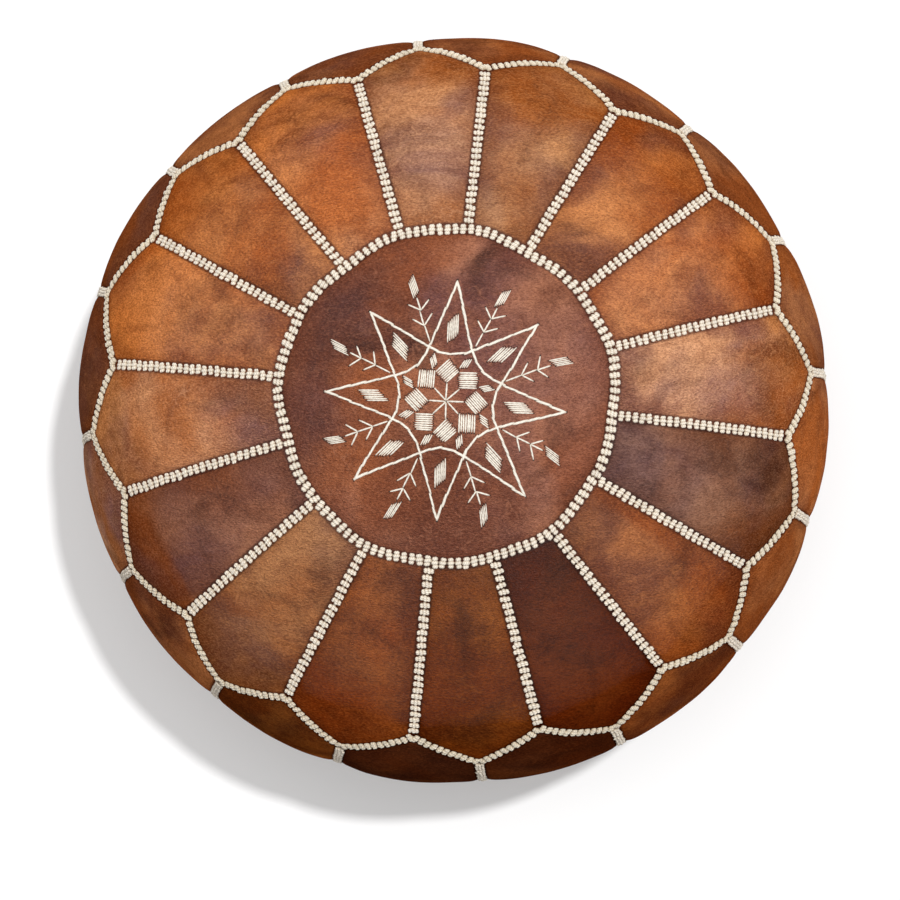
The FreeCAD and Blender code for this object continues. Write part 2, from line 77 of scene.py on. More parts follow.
# ---------------- sizes of the sewing
SEAM_DEPTH = 1.4 * MM  # the leather is sewn this far inside the CAD's surface, and swells from there
GROOVE = 1.3 * MM  # and it dips this much more right beside the thread
COARSE = 16  # mesh columns from one radial seam to the next, before refining
FINE = 3  # each coarse step is refined into this many
ROWS = {"petal": 26, "side": 34, "base": 34}
RING_BLOCK = (7.2 * MM, 5.2 * MM)  # width and pitch of the thread blocks
RADIAL_BLOCK = (6.8 * MM, 4.9 * MM)
ZIGZAG_BLOCK = (6.2 * MM, 4.8 * MM)
SIDE_BLOCK = (6.2 * MM, 4.3 * MM)
BLOCK_HEIGHT = 2.2 * MM
LOBE_TWIST = 0.16
LOBE_OVERLAP = 1.40  # a lobe is this many times as wide as its third of the block
OUTER_LOBE = (0.82, 0.86)  # length and height of an outer lobe, as parts of the middle one's
CORNER_GAP = 4.0 * MM  # a seam's blocks stop this far short of the seam across its end
FLOOR_GAP = 0.15 * MM  # the leather stays this far above the floor
MID_REACH = 0.4  # the leather material's reach, for pieces with no inner and outer end
DOWN = np.array([0.0, 0.0, -1.0])

random = np.random.default_rng(16)


# ---------------- the profile
def polar(centre, radius, angle):
    return (centre[0] + radius * math.cos(angle), centre[1] + radius * math.sin(angle))


SIDE_C = (WIDEST_R - SIDE_R, WIDEST_Z)
SHOULDER_C = polar(SIDE_C, SIDE_R - SHOULDER_R, SHOULDER_START)
drop = TOP_Z - SHOULDER_C[1]
DOME_R = (SHOULDER_C[0] ** 2 + drop**2 - SHOULDER_R**2) / (2 * (drop - SHOULDER_R))
DOME_C = (0.0, TOP_Z - DOME_R)
DOME_END = math.atan2(SHOULDER_C[1] - DOME_C[1], SHOULDER_C[0])
foot_x = FLAT_R - SIDE_C[0]
FOOT_R = (SIDE_R**2 - foot_x**2 - WIDEST_Z**2) / (2 * (SIDE_R - WIDEST_Z))
FOOT_START = math.atan2(FOOT_R - WIDEST_Z, foot_x)
ARCS = [
    (DOME_C, DOME_R, math.pi / 2, DOME_END),
    (SHOULDER_C, SHOULDER_R, DOME_END, SHOULDER_START),
    (SIDE_C, SIDE_R, SHOULDER_START, FOOT_START),
    ((FLAT_R, FOOT_R), FOOT_R, FOOT_START, -math.pi / 2),
]
LINE = [(FLAT_R, 0.0), (STEP_OUTER_R, 0.0), (STEP_INNER_R, RECESS_Z), (BASE_RING_R, RECESS_Z)]


def arc_s(index, angle):
    """Distance along the profile to an angle on one of its arcs."""
    before = sum(radius * (start - end) for _, radius, start, end in ARCS[:index])
    return before + ARCS[index][1] * (ARCS[index][2] - angle)


def s_at_radius(index, radius):
    centre, arc_r = ARCS[index][:2]
    return arc_s(index, math.acos((radius - centre[0]) / arc_r))


def s_at_height(index, height):
    centre, arc_r = ARCS[index][:2]
    return arc_s(index, math.asin((height - centre[1]) / arc_r))


def profile_table(step=0.5 * MM):
    """s, r, z and the outward normal of the profile, at small even steps."""
    rows = []
    travelled = 0.0
    for centre, radius, start, end in ARCS:
        count = max(2, int(radius * (start - end) / step))
        for angle in np.linspace(start, end, count, endpoint=False):
            r, z = polar(centre, radius, angle)
            s = travelled + radius * (start - angle)
            rows.append((s, r, z, math.cos(angle), math.sin(angle)))
        travelled += radius * (start - end)
    for (r0, z0), (r1, z1) in zip(LINE, LINE[1:]):
        length = math.hypot(r1 - r0, z1 - z0)
        along = ((r1 - r0) / length, (z1 - z0) / length)
        for t in np.linspace(0, 1, max(2, int(length / step)), endpoint=False):
            r, z = r0 + t * (r1 - r0), z0 + t * (z1 - z0)
            rows.append((travelled + t * length, r, z, -along[1], along[0]))
        travelled += length
    rows.append((travelled, *LINE[-1], 0.0, -1.0))
    return np.array(rows).T, travelled


(TABLE_S, TABLE_R, TABLE_Z, TABLE_NR, TABLE_NZ), S_END = profile_table()
S_RING = s_at_radius(0, RING_R)
S_TOP_VALLEY = s_at_radius(1, TOP_VALLEY_R)
S_TOP_POINT = s_at_radius(1, TOP_POINT_R)
S_BASE_POINT = s_at_height(2, BASE_POINT_Z)
S_BASE_VALLEY = s_at_height(2, BASE_VALLEY_Z)


def hand_drift(u, s):
    """How far the hand-cut seams wander: a small turn about Z, and a small shift along s."""
    a = u * SECTOR
    turn = 0.006 * np.sin(3 * a + 9 * s + 0.5) + 0.005 * np.sin(8 * a - 14 * s + 2.0)
    shift = 1.0 * MM * np.sin(5 * a + 1.0) + 0.9 * MM * np.sin(11 * a + 20 * s)
    return turn, shift


def place(u, s, height=0.0):
    """Points and outward normals of the cover at (u, s), raised by height."""
    u, s, height = np.broadcast_arrays(*(np.asarray(v, float) for v in (u, s, height)))
    turn, shift = hand_drift(u, s)
    fade = np.clip(s / S_RING, 0, 1) * np.clip((S_END - s) / (60 * MM), 0, 1)
    turn, s = turn * np.clip(s / S_RING, 0, 1), s + shift * fade
    angle = FIRST_SEAM + u * SECTOR + turn
    r, z = np.interp(s, TABLE_S, TABLE_R), np.interp(s, TABLE_S, TABLE_Z)
    lopsided = 1 + 0.004 * np.sin(2 * angle + 2.4) + 0.003 * np.sin(5 * angle + 0.7)
    r = r * (1 + (lopsided - 1) * np.clip(s / S_TOP_VALLEY, 0, 1) * fade)
    nr, nz = np.interp(s, TABLE_S, TABLE_NR), np.interp(s, TABLE_S, TABLE_NZ)
    length = np.hypot(nr, nz)
    nr, nz = nr / length, nz / length
    normals = np.stack([nr * np.cos(angle), nr * np.sin(angle), nz], -1)
    points = np.stack([r * np.cos(angle), r * np.sin(angle), z], -1)
    return points + normals * height[..., None], normals


def zigzag(u, valley, point):
    """s of a zigzag seam: its valleys are at whole u, its points half way between."""
    part = np.mod(np.asarray(u, float), 1.0)
    return valley + (point - valley) * (1 - np.abs(2 * part - 1))


def top_zigzag(u):
    return zigzag(u, S_TOP_VALLEY, S_TOP_POINT)


def base_zigzag(u):
    return zigzag(u, S_BASE_VALLEY, S_BASE_POINT)


# ---------------- small tools
@np.errstate(over="ignore")
def noise(points, size, seed):
    """Smooth noise from -1 to 1 at points, with features about size metres across.

    Each corner's value is a hash of its cell, which overflows on purpose.
    """
    p = np.asarray(points) / size + 13.7 * seed
    cell = np.floor(p).astype(np.int64)
    t = p - cell
    t = t * t * (3 - 2 * t)
    total = 0.0
    for corner in itertools.product((0, 1), repeat=3):
        c = cell + np.array(corner)
        mixed = (c[..., 0] * 73856093) ^ (c[..., 1] * 19349663) ^ (c[..., 2] * 83492791)
        mixed = (mixed ^ (mixed >> 13)) * 1274126177
        value = ((mixed ^ (mixed >> 16)) & 0xFFFF) / 32767.5 - 1
        weight = np.prod(np.where(np.array(corner) == 1, t, 1 - t), axis=-1)
        total = total + value * weight
    return total


def refine(rows, steps):
    """Smooth curves through the rows, with steps points from each row to the next."""
    first, last = 2 * rows[:1] - rows[1:2], 2 * rows[-1:] - rows[-2:-1]
    padded = np.concatenate([first, rows, last])
    a, b, c, d = padded[:-3], padded[1:-2], padded[2:-1], padded[3:]
    between = []
    for k in range(steps):
        t = k / steps
        curve = 2 * b + (c - a) * t + (2 * a - 5 * b + 4 * c - d) * t**2
        between.append((curve + (3 * b - a - 3 * c + d) * t**3) / 2)
    fine = np.stack(between, 1).reshape(-1, *rows.shape[1:])
    return np.concatenate([fine, rows[-1:]])


def smoothstep(x, low, high):
    t = np.clip((x - low) / (high - low), 0, 1)
    return t * t * (3 - 2 * t)


def unit(v):
    return v / np.maximum(np.linalg.norm(v, axis=-1, keepdims=True), 1e-12)


def quads_of(index):
    """Quads between the neighbouring entries of a table of point indices."""
    quads = [index[:-1, :-1], index[1:, :-1], index[1:, 1:], index[:-1, 1:]]
    return np.stack(quads, -1).reshape(-1, 4)


def grid_faces(rows, columns):
    """Quads of a grid of rows x columns points."""
    return quads_of(np.arange(rows * columns).reshape(rows, columns))


def wrapped_index(rows, columns):
    """Point indices of a grid whose last column joins its first."""
    index = np.arange(rows * columns).reshape(rows, columns)
    return np.concatenate([index, index[:, :1]], axis=1)


def fan(apex, ring):
    """Triangles from one point to each step of a ring of point indices."""
    return [[apex, a, b] for a, b in zip(ring[:-1], ring[1:])]


def grid_normals(points):
    across, along = np.gradient(points, axis=1), np.gradient(points, axis=0)
    return unit(np.cross(along, across))


def new_mesh(name, points, faces, material, smooth=True):
    mesh = bpy.data.meshes.new(name)
    mesh.from_pydata(np.asarray(points).tolist(), [], [list(map(int, f)) for f in faces])
    mesh.polygons.foreach_set("use_smooth", [smooth] * len(mesh.polygons))
    mesh.materials.append(material)
    mesh.update()
    piece = bpy.data.objects.new(name, mesh)
    bpy.context.scene.collection.objects.link(piece)
    return piece


def float_attribute(piece, name, values):
    attribute = piece.data.attributes.new(name, "FLOAT", "POINT")
    attribute.data.foreach_set("value", np.asarray(values, np.float32).ravel())


def finish_piece(piece, slot, *nodes, body="cover"):
    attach(piece, body)
    if nodes:
        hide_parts(*nodes)
    return piece


# ---------------- materials
def srgb(red, green, blue):
    """Linear colour from the 0 to 255 values of a colour picker."""
    return [((c / 255 + 0.055) / 1.055) ** 2.4 for c in (red, green, blue)] + [1.0]


WAVE = 2 * math.pi / 20  # a wave texture repeats every WAVE / scale


class Nodes:
    """Short words for building one material's node tree."""

    def __init__(self, name):
        self.material = bpy.data.materials.new(name)
        self.material.use_nodes = True
        self.tree = self.material.node_tree
        self.shader = self.tree.nodes["Principled BSDF"]

    def add(self, kind, inputs=None, **settings):
        node = self.tree.nodes.new("ShaderNode" + kind)
        for key, value in settings.items():
            setattr(node, key, value)
        for key, value in (inputs or {}).items():
            self.feed(node.inputs[key], value)
        return node

    def feed(self, socket, value):
        if isinstance(value, bpy.types.NodeSocket):
            self.tree.links.new(value, socket)
        else:
            socket.default_value = value

    def place(self, seed=(0, 0, 0), scale=(1, 1, 1), turn=(0, 0, 0)):
        """Coordinates on the object, moved, turned and stretched."""
        where = self.add("TexCoord").outputs["Object"]
        inputs = {"Vector": where, "Location": seed, "Scale": scale, "Rotation": turn}
        return self.add("Mapping", inputs).outputs[0]

    def noise(self, where, scale, detail=4.0, rough=0.55, bend=0.0):
        inputs = {"Vector": where, "Scale": scale, "Detail": detail, "Roughness": rough}
        inputs["Distortion"] = bend
        return self.add("TexNoise", inputs).outputs["Fac"]

    def range(self, value, low, high, to_low=0.0, to_high=1.0):
        inputs = {0: value, 1: low, 2: high, 3: to_low, 4: to_high}
        return self.add("MapRange", inputs, clamp=True).outputs[0]

    def math(self, operation, a, b):
        return self.add("Math", {0: a, 1: b}, operation=operation).outputs[0]

    def mix(self, factor, a, b, blend="MIX"):
        node = self.add("Mix", data_type="RGBA", blend_type=blend)
        self.feed(node.inputs["Factor"], factor)
        self.feed(node.inputs[6], a)
        self.feed(node.inputs[7], b)
        return node.outputs[2]

    def bump(self, height, distance, strength=1.0, normal=None):
        inputs = {"Height": height, "Distance": distance, "Strength": strength}
        node = self.add("Bump", inputs)
        if normal is not None:
            self.feed(node.inputs["Normal"], normal)
        return node.outputs[0]

    def attribute(self, name):
        return self.add("Attribute", attribute_name=name).outputs["Fac"]

    def set(self, **inputs):
        for key, value in inputs.items():
            self.feed(self.shader.inputs[key.replace("_", " ")], value)
        return self.material


HONEY = (206, 130, 82)
GOLDEN = (214, 136, 84)
COGNAC = (198, 124, 74)
TAN = (194, 134, 92)
ROSE_TAN = (200, 142, 106)
PALE_TAN = (212, 150, 112)
RUSSET = (176, 106, 62)
RED_BROWN = (160, 105, 80)
OLIVE_BROWN = (176, 117, 76)
CHESTNUT = (152, 83, 40)
UMBER = (134, 72, 28)
DARK_UMBER = (108, 50, 20)
PLUM_BROWN = (150, 104, 84)
BLACK_BROWN = (98, 49, 23)
MEDALLION_BROWN = (166, 106, 80)
TOP_TONES = [
    HONEY, COGNAC, TAN, ROSE_TAN, GOLDEN, COGNAC, GOLDEN, PALE_TAN,
    RED_BROWN, OLIVE_BROWN, CHESTNUT, UMBER, DARK_UMBER, RUSSET, PLUM_BROWN, PALE_TAN,
]
# sides 9 and 10, away from the key light, get lighter tones as painted light; sides 12 and 13 get the
# darkest tone, partly their own dark leather and partly painted shade
SIDE_TONES = [
    COGNAC, RUSSET, RUSSET, RUSSET, RUSSET, RUSSET, RUSSET, RUSSET,
    PALE_TAN, RUSSET, UMBER, BLACK_BROWN, BLACK_BROWN, CHESTNUT, RUSSET, GOLDEN,
]


def scaled(tone, *factors):
    """A tone with its red, green and blue multiplied, or all three by one factor."""
    factors = factors * 3 if len(factors) == 1 else factors
    return srgb(*[min(255, c * f) for c, f in zip(tone, factors)])


def leather(name, tone, seed, stain=0.62, gloss=0.34, patches=()):
    """Vegetable-tanned goat leather: cloudy dye, dark smudges, brush marks and a fine grain.

    The mesh's edge attribute is the distance to the panel's border, and its reach goes from 0 at
    the panel's inner end to 1 at its outer end. Each patch is (centre, radius, strength, colour).
    Beside the seams and along the reach the colour also carries painted shade and a painted sheen.
    """
    n = Nodes(name)
    shift = (3.1 * seed, 1.7 * seed, 0.9 * seed)
    where = n.place(shift)
    light = scaled(tone, 1.15, 1.19, 1.18)
    dusk = scaled(tone, 0.77, 0.76, 0.94)
    ruddy = scaled(tone, 0.94, 0.77, 0.48)
    dark = scaled(tone, 0.68, 0.55, 0.46)
    deep = scaled(tone, 0.40, 0.31, 0.33)
    clouds = n.noise(where, 14.0, 4.0, 0.50, 0.6)
    warmth = n.noise(n.place((1.3 * seed, 2.9 * seed, 0.4)), 12.0, 3.0, 0.5, 0.5)
    blots = n.noise(where, 26.0, 7.0, 0.60, 0.9)
    smudges = n.noise(where, 15.0, 8.0, 0.60, 0.9)
    colour = n.mix(n.range(clouds, 0.39, 0.60), dusk, light)
    colour = n.mix(n.range(warmth, 0.44, 0.60, 0.0, 0.85), colour, ruddy)
    colour = n.mix(n.range(blots, 0.50, 0.72, 0.0, stain), colour, dark)
    colour = n.mix(n.range(smudges, 0.51, 0.69, 0.0, stain), colour, deep)
    for centre, radius, strength, tint in patches:
        gap = n.add("VectorMath", {0: n.place(), 1: centre}, operation="DISTANCE")
        ragged = n.range(smudges, 0.35, 0.65, -0.6 * radius, 0.6 * radius)
        gap = n.math("ADD", gap.outputs["Value"], ragged)
        colour = n.mix(n.range(gap, 0.3 * radius, 1.3 * radius, strength, 0.0), colour, tint)
    for turn, amount in ((2.4 * seed, 0.30), (2.4 * seed + 0.5, 0.24)):
        streaks = n.noise(n.place(shift, (7.0, 42.0, 42.0), (0.2, 0.1, turn)), 4.0, 8.0, 0.66, 0.3)
        colour = n.mix(n.range(streaks, 0.50, 0.68, 0.0, amount), colour, dark)
        colour = n.mix(n.range(streaks, 0.32, 0.46, 0.6 * amount, 0.0), colour, light)
    mottle = n.noise(where, 210.0, 6.0, 0.74)
    colour = n.mix(n.range(mottle, 0.44, 0.70, 0.0, 0.26), colour, dark)
    specks = n.noise(where, 560.0, 2.0, 0.5)
    colour = n.mix(n.range(specks, 0.64, 0.76, 0.0, 0.36), colour, deep)
    warp = n.add("TexNoise", {"Vector": where, "Scale": 20.0, "Detail": 3.0})
    bent = n.add("VectorMath", {0: where, 1: warp.outputs["Color"]}, operation="ADD")
    veins = n.add(
        "TexVoronoi", {"Vector": bent.outputs[0], "Scale": 3.6},
        feature="DISTANCE_TO_EDGE",
    ).outputs["Distance"]
    faded = n.range(blots, 0.46, 0.64, 0.0, 0.35)
    vein = n.math("MULTIPLY", n.range(veins, 0.002, 0.03, 1.0, 0.0), faded)
    colour = n.mix(vein, colour, deep if seed % 2 else light)
    # darker within about 16 mm of the border: partly the burnished edge, partly painted shade where
    # the puffed leather dips into the seam
    edge = n.math("ADD", n.attribute("edge"), n.range(blots, 0.4, 0.6, -0.005, 0.005))
    edge = n.math("ADD", edge, n.range(clouds, 0.42, 0.58, -0.006, 0.006))
    colour = n.mix(n.range(edge, 0.001, 0.016, 0.55, 0.0), colour, dark)
    # darker and more orange towards the outer end, greyer at the inner end: partly the dye, partly
    # painted shade on slopes turning from the light and painted sheen on the flat top
    reach = n.math("ADD", n.attribute("reach"), n.range(clouds, 0.3, 0.7, -0.15, 0.15))
    outer_dye_and_shade = n.range(reach, 0.45, 1.0)
    colour = n.mix(outer_dye_and_shade, colour, [0.82, 0.64, 0.40, 1.0], "MULTIPLY")
    colour = n.mix(n.range(reach, 0.0, 0.30, 0.8, 0.0), colour, [0.80, 0.86, 1.0, 1.0], "MULTIPLY")
    # painted shadow under the thread blocks and in the fold beside them, within about 5 mm of the seam
    colour = n.mix(n.range(n.attribute("edge"), 0.0036, 0.0052, 0.85, 0.0), colour, deep)
    ripples = n.noise(n.place(shift, (1.0, 2.2, 1.6), (0.0, 0.0, 1.9 * seed)), 480.0, 3.0, 0.65)
    valley = n.range(ripples, 0.36, 0.58, 0.95, 0.0)
    colour = n.mix(valley, colour, [0.62, 0.55, 0.53, 1.0], "MULTIPLY")
    colour = n.mix(n.range(ripples, 0.52, 0.70, 0.0, 0.22), colour, light)
    cells = n.add("TexVoronoi", {"Vector": where, "Scale": 780.0}).outputs["Distance"]
    grain = n.math("SUBTRACT", n.math("MULTIPLY", ripples, 3.0), cells)
    creases = n.noise(n.place(shift, (1.0, 3.6, 1.8), (0.0, 0.4, 1.9 * seed)), 130.0, 6.0, 0.7)
    normal = n.bump(grain, 0.00055, 1.0)
    normal = n.bump(creases, 0.0016, 0.6, normal)
    normal = n.bump(vein, -0.0006, 0.5, normal)
    rough = n.range(n.math("ADD", clouds, mottle), 0.7, 1.3, 0.38, 0.54)
    facing = n.add("LayerWeight", {"Blend": 0.5}).outputs["Facing"]
    sheen = n.range(facing, 0.0, 0.30, gloss, 0.0)
    return n.set(Base_Color=colour, Roughness=rough, Normal=normal, Specular_IOR_Level=sheen)


def thread(name, tone, strand=0.85 * MM, twist=0.6, depth=0.66, side_shade=0.62):
    """Spun cotton thread: fine strands that run along it with a slow twist.

    The mesh's nap attribute is 1 on top of each stitch and 0 where it sinks into the leather.
    The gaps between the strands and the low sides of each stitch are darkened as painted shade.
    """
    n = Nodes(name)
    uv = n.add("UVMap", uv_map="strand").outputs[0]
    skew = n.add("Mapping", {"Vector": uv, "Rotation": (0, 0, twist)}).outputs[0]
    wave_inputs = {"Vector": skew, "Scale": WAVE / strand, "Distortion": 1.5}
    wave_inputs.update({"Detail": 2.0, "Detail Scale": 1.5})
    wave = n.add("TexWave", wave_inputs, bands_direction="Y").outputs["Fac"]
    where = n.place()
    patches = n.noise(where, 120.0, 4.0)
    light, shade = srgb(*tone), scaled(tone, 0.86)
    colour = n.mix(n.range(patches, 0.40, 0.65, 0.0, 0.5), light, shade)
    # painted shade in the gaps between the strands
    colour = n.mix(n.range(wave, 0.0, 0.5, 0.6, 0.0), colour, scaled(tone, depth))
    # painted shade down the low sides of each stitch, where it sinks into the leather
    side_shade_colour = scaled(tone, 0.66, 0.58, 0.46)
    colour = n.mix(n.range(n.attribute("nap"), 0.30, 0.92, side_shade, 0.0), colour, side_shade_colour)
    n.set(Base_Color=colour, Normal=n.bump(wave, 0.00022, 0.9))
    return n.set(Roughness=0.62, Sheen_Weight=0.15, Specular_IOR_Level=0.35)


def woven(name, tone, pitch):
    """Plain-woven cloth."""
    n = Nodes(name)
    where = n.place()
    scale = WAVE / pitch
    warp = n.add("TexWave", {"Vector": where, "Scale": scale}, bands_direction="X")
    weft = n.add("TexWave", {"Vector": where, "Scale": scale}, bands_direction="Y")
    weave = n.math("MAXIMUM", warp.outputs["Fac"], weft.outputs["Fac"])
    fuzz = n.noise(where, 400.0, 4.0)
    shade = scaled(tone, 0.72)
    # painted shade in the dips of the weave, between the threads
    colour = n.mix(n.range(weave, 0.2, 0.9, 0.6, 0.0), srgb(*tone), shade)
    colour = n.mix(n.range(fuzz, 0.45, 0.7, 0.0, 0.35), colour, shade)
    n.set(Base_Color=colour, Normal=n.bump(weave, 0.00018, 0.7))
    return n.set(Roughness=0.82, Sheen_Weight=0.1)


def wadding(name, tone):
    """Loose cotton fibre."""
    n = Nodes(name)
    where = n.place()
    fibres = n.noise(n.place(scale=(1.0, 5.0, 2.0)), 90.0, 8.0, 0.75)
    tufts = n.noise(where, 22.0, 4.0)
    colour = n.mix(n.range(fibres, 0.4, 0.7), srgb(*tone), scaled(tone, 0.7))
    height = n.math("ADD", fibres, tufts)
    n.set(Base_Color=colour, Normal=n.bump(height, 0.003, 0.8))
    return n.set(Roughness=0.95, Sheen_Weight=0.2)


def nylon(name, tone):
    n = Nodes(name)
    worn = n.noise(n.place(), 300.0, 4.0)
    colour = n.mix(n.range(worn, 0.4, 0.7, 0.0, 0.4), srgb(*tone), scaled(tone, 1.4))
    rough = n.range(worn, 0.3, 0.7, 0.30, 0.48)
    return n.set(Base_Color=colour, Roughness=rough, Normal=n.bump(worn, 0.00004, 0.4))


def aged_brass(name):
    n = Nodes(name)
    where = n.place()
    tarnish = n.noise(where, 420.0, 6.0, 0.65)
    scratches = n.noise(n.place(scale=(1.0, 14.0, 1.0)), 500.0, 3.0)
    colour = n.mix(n.range(tarnish, 0.45, 0.7), srgb(186, 150, 86), srgb(112, 82, 44))
    rough = n.range(n.math("ADD", tarnish, scratches), 0.7, 1.3, 0.26, 0.52)
    n.set(Base_Color=colour, Roughness=rough, Normal=n.bump(scratches, 0.00003, 0.4))
    return n.set(Metallic=1.0)


def needle_hole(name):
    n = Nodes(name)
    spots = n.noise(n.place(), 800.0, 2.0)
    # dark brown standing in for the shade inside a needle hole
    colour = n.mix(n.range(spots, 0.3, 0.7), srgb(44, 24, 16), srgb(60, 34, 23))
    return n.set(Base_Color=colour, Roughness=0.9)


def studio_floor(name):
    n = Nodes(name)
    faint = n.noise(n.place(), 2.0, 2.0)
    colour = n.mix(n.range(faint, 0.3, 0.7), srgb(204, 204, 204), srgb(206, 206, 206))
    n.set(Base_Color=colour, Roughness=0.9, Specular_IOR_Level=0.1)
    return n.set(Emission_Color=colour, Emission_Strength=0.54)


# ---------------- the stuffed cover
def coarse_panels():
    """(kind, number) to the coarse (u, s) of every petal, side panel and base petal."""
    panels = {}
    across = np.linspace(0, 1, COARSE + 1)
    for k in range(SECTORS):
        for kind, start, top, bottom in (
            ("petal", k, lambda u: np.full_like(u, S_RING), top_zigzag),
            ("side", k - 0.5, top_zigzag, base_zigzag),
            ("base", k, base_zigzag, lambda u: np.full_like(u, S_END)),
        ):
            u = start + across
            down = np.linspace(0, 1, ROWS[kind] + 1)[:, None]
            s = top(u) + (bottom(u) - top(u)) * down
            panels[kind, k] = (np.broadcast_to(u, s.shape), s)
    return panels


def joined(positions):
    """One mesh of all panels that shares the points of their seams, and each panel's indices."""
    numbers, points, faces, indices, pinned = {}, [], [], {}, set()
    for key, grid in positions.items():
        rows, columns = grid.shape[:2]
        index = np.empty((rows, columns), int)
        for i, j in itertools.product(range(rows), range(columns)):
            code = tuple(np.round(grid[i, j], 5))
            if code not in numbers:
                numbers[code] = len(points)
                points.append(grid[i, j])
            index[i, j] = numbers[code]
            if i in (0, rows - 1) or j in (0, columns - 1):
                pinned.add(numbers[code])
        indices[key] = index
        flat = index.ravel()
        faces.append(flat[grid_faces(rows, columns)])
    return np.array(points), np.concatenate(faces), indices, sorted(pinned)


PRESSURE = 300.0
MOST_SWELL = 5.0 * MM  # the most that a point may move
LAST_FRAME = 20


def swell(points, faces, pinned):
    """The stuffing presses the panels out between their seams, by cloth simulation."""
    piece = new_mesh("swelling_cover", points, faces, bpy.data.materials.new("unused"))
    held = piece.vertex_groups.new(name="seams")
    held.add(pinned, 1.0, "REPLACE")
    cloth = piece.modifiers.new("cloth", "CLOTH")
    settings = cloth.settings
    settings.quality = 5
    settings.use_pressure = True
    settings.uniform_pressure_force = PRESSURE
    settings.vertex_group_mass = "seams"
    settings.effector_weights.gravity = 0.0
    cloth.collision_settings.use_collision = False
    cloth.point_cache.frame_end = LAST_FRAME
    for number in range(1, LAST_FRAME + 1):
        bpy.context.scene.frame_set(number)
    shaped = piece.evaluated_get(bpy.context.evaluated_depsgraph_get())
    moved = np.empty(len(points) * 3, np.float32)
    shaped.data.vertices.foreach_get("co", moved)
    bpy.context.scene.frame_set(1)
    bpy.data.objects.remove(piece)
    change = moved.reshape(-1, 3).astype(float) - points
    length = np.linalg.norm(change, axis=1, keepdims=True)
    return points + change * np.minimum(1.0, MOST_SWELL / np.maximum(length, 1e-9))


def swollen_panels():
    """(kind, number) to the coarse points of every panel, with the stuffing's pressure on it."""
    panels = coarse_panels()
    flat = {key: place(u, s, -SEAM_DEPTH)[0] for key, (u, s) in panels.items()}
    points, faces, indices, pinned = joined(flat)
    points = swell(points, faces, pinned)
    return {key: points[index] for key, index in indices.items()}


def edge_distance(points):
    """How far each point of a grid is from the grid's border."""
    border = np.concatenate([points[0], points[-1], points[:, 0], points[:, -1]])
    flat = points.reshape(-1, 3)
    nearest = np.full(len(flat), np.inf)
    for start in range(0, len(border), 32):
        gaps = flat[:, None] - border[None, start : start + 32]
        nearest = np.minimum(nearest, (gaps**2).sum(-1).min(1))
    return np.sqrt(nearest).reshape(points.shape[:2])


def hide_surface(points, edge, seed):
    """The leather's own relief: the groove at its seams, puckers beside them, dents and folds."""
    dents = 0.9 * MM * noise(points, 55 * MM, seed) * smoothstep(edge, 0, 25 * MM)
    folds = 0.22 * MM * noise(points * np.array([1.0, 1.0, 0.6]), 14 * MM, seed + 5)
    puckers = 0.45 * MM * noise(points, 7 * MM, seed + 9) * np.exp(-edge / (8 * MM))
    puckers *= smoothstep(edge, 0, 3 * MM)
    groove = -GROOVE * np.exp(-((edge / (4.5 * MM)) ** 2))
    return dents + folds * smoothstep(edge, 0, 8 * MM) + puckers + groove


def sheet_mesh(name, points, normals, edge, reach, material):
    """A grid as a leather sheet, with its cut edge turned in by the leather's thickness.

    edge and reach are the two attributes that the leather material reads.
    """
    rows, columns = points.shape[:2]
    index = np.arange(rows * columns).reshape(rows, columns)
    rim = np.concatenate([index[0], index[1:, -1], index[-1, -2::-1], index[-2:0:-1, 0]])
    flat, flat_normals = points.reshape(-1, 3), normals.reshape(-1, 3)
    tucked = flat[rim] - flat_normals[rim] * LEATHER
    low = np.arange(len(rim)) + len(flat)
    turned = np.stack([rim, np.roll(rim, -1), np.roll(low, -1), low], 1)
    faces = np.concatenate([grid_faces(rows, columns), turned])
    piece = new_mesh(name, np.concatenate([flat, tucked]), faces, material)
    float_attribute(piece, "edge", np.concatenate([edge.ravel(), np.zeros(len(rim))]))
    float_attribute(piece, "reach", np.concatenate([reach.ravel(), reach.ravel()[rim]]))
    return piece


def panel_mesh(name, points, material, seed):
    """One leather panel with the leather's own relief, kept just above the floor."""
    edge = edge_distance(points)
    normals = grid_normals(points)
    points = points + normals * hide_surface(points, edge, seed)[..., None]
    points[..., 2] = np.maximum(points[..., 2], FLOOR_GAP)
    reach = np.broadcast_to(np.linspace(0, 1, len(points))[:, None], points.shape[:2])
    return sheet_mesh(name, points, normals, edge, reach, material)


def panels():
    """Every petal, side panel and base petal."""
    for (kind, k), coarse in swollen_panels().items():
        points = refine(coarse, FINE)
        points = refine(points.swapaxes(0, 1), FINE).swapaxes(0, 1)
        number = k + 1
        seed = {"petal": 1, "side": 40, "base": 80}[kind] + k
        tone = SIDE_TONES[k] if kind == "side" else TOP_TONES[k]
        if kind == "base":
            tone = RUSSET if k % 2 else CHESTNUT
        material = leather(f"{kind}_leather_{number:02d}", tone, seed)
        piece = panel_mesh(f"{kind}_{number:02d}_leather", points, material, seed)
        node, slot = {
            "petal": (f"top_petal_{number:02d}", "petal_leather"),
            "side": (f"side_panel_{number:02d}", "side_leather"),
            "base": (f"base_petals_quarter_{k // 4 + 1}", "base_leather"),
        }[kind]
        finish_piece(piece, slot, node)


# ---------------- medallion
MEDALLION_RISE = 2.0 * MM
MEDALLION_SEED = 120


